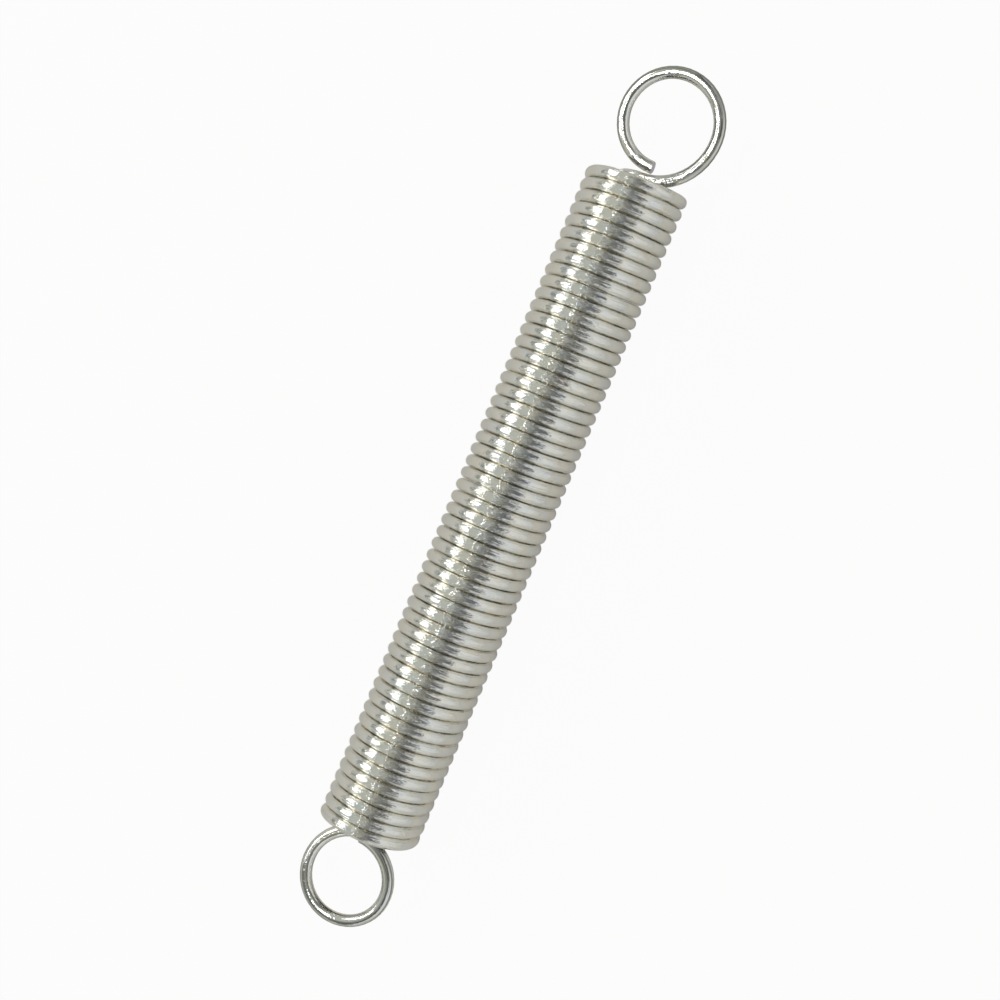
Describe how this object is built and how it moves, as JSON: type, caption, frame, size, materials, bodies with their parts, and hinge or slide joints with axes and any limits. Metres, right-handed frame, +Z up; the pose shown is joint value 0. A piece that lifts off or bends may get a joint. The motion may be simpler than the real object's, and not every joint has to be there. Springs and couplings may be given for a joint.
{
  "type": "extension spring",
  "caption": "Extension spring: a close-wound coil of round plated steel wire with a full round loop at each end, for pulling two parts together.",
  "frame": {"origin": "on the bench, below the coil axis and midway between the far edges of the end loops", "axes": "+X along the coil axis towards the first loop, +Z up from the bench the spring lies on"},
  "size_m": [0.088, 0.0108, 0.01],
  "materials": {
    "wire": "bright zinc plated"
  },
  "bodies": {
    "root": {"spring": "wire"}
  },
  "joints": []
}
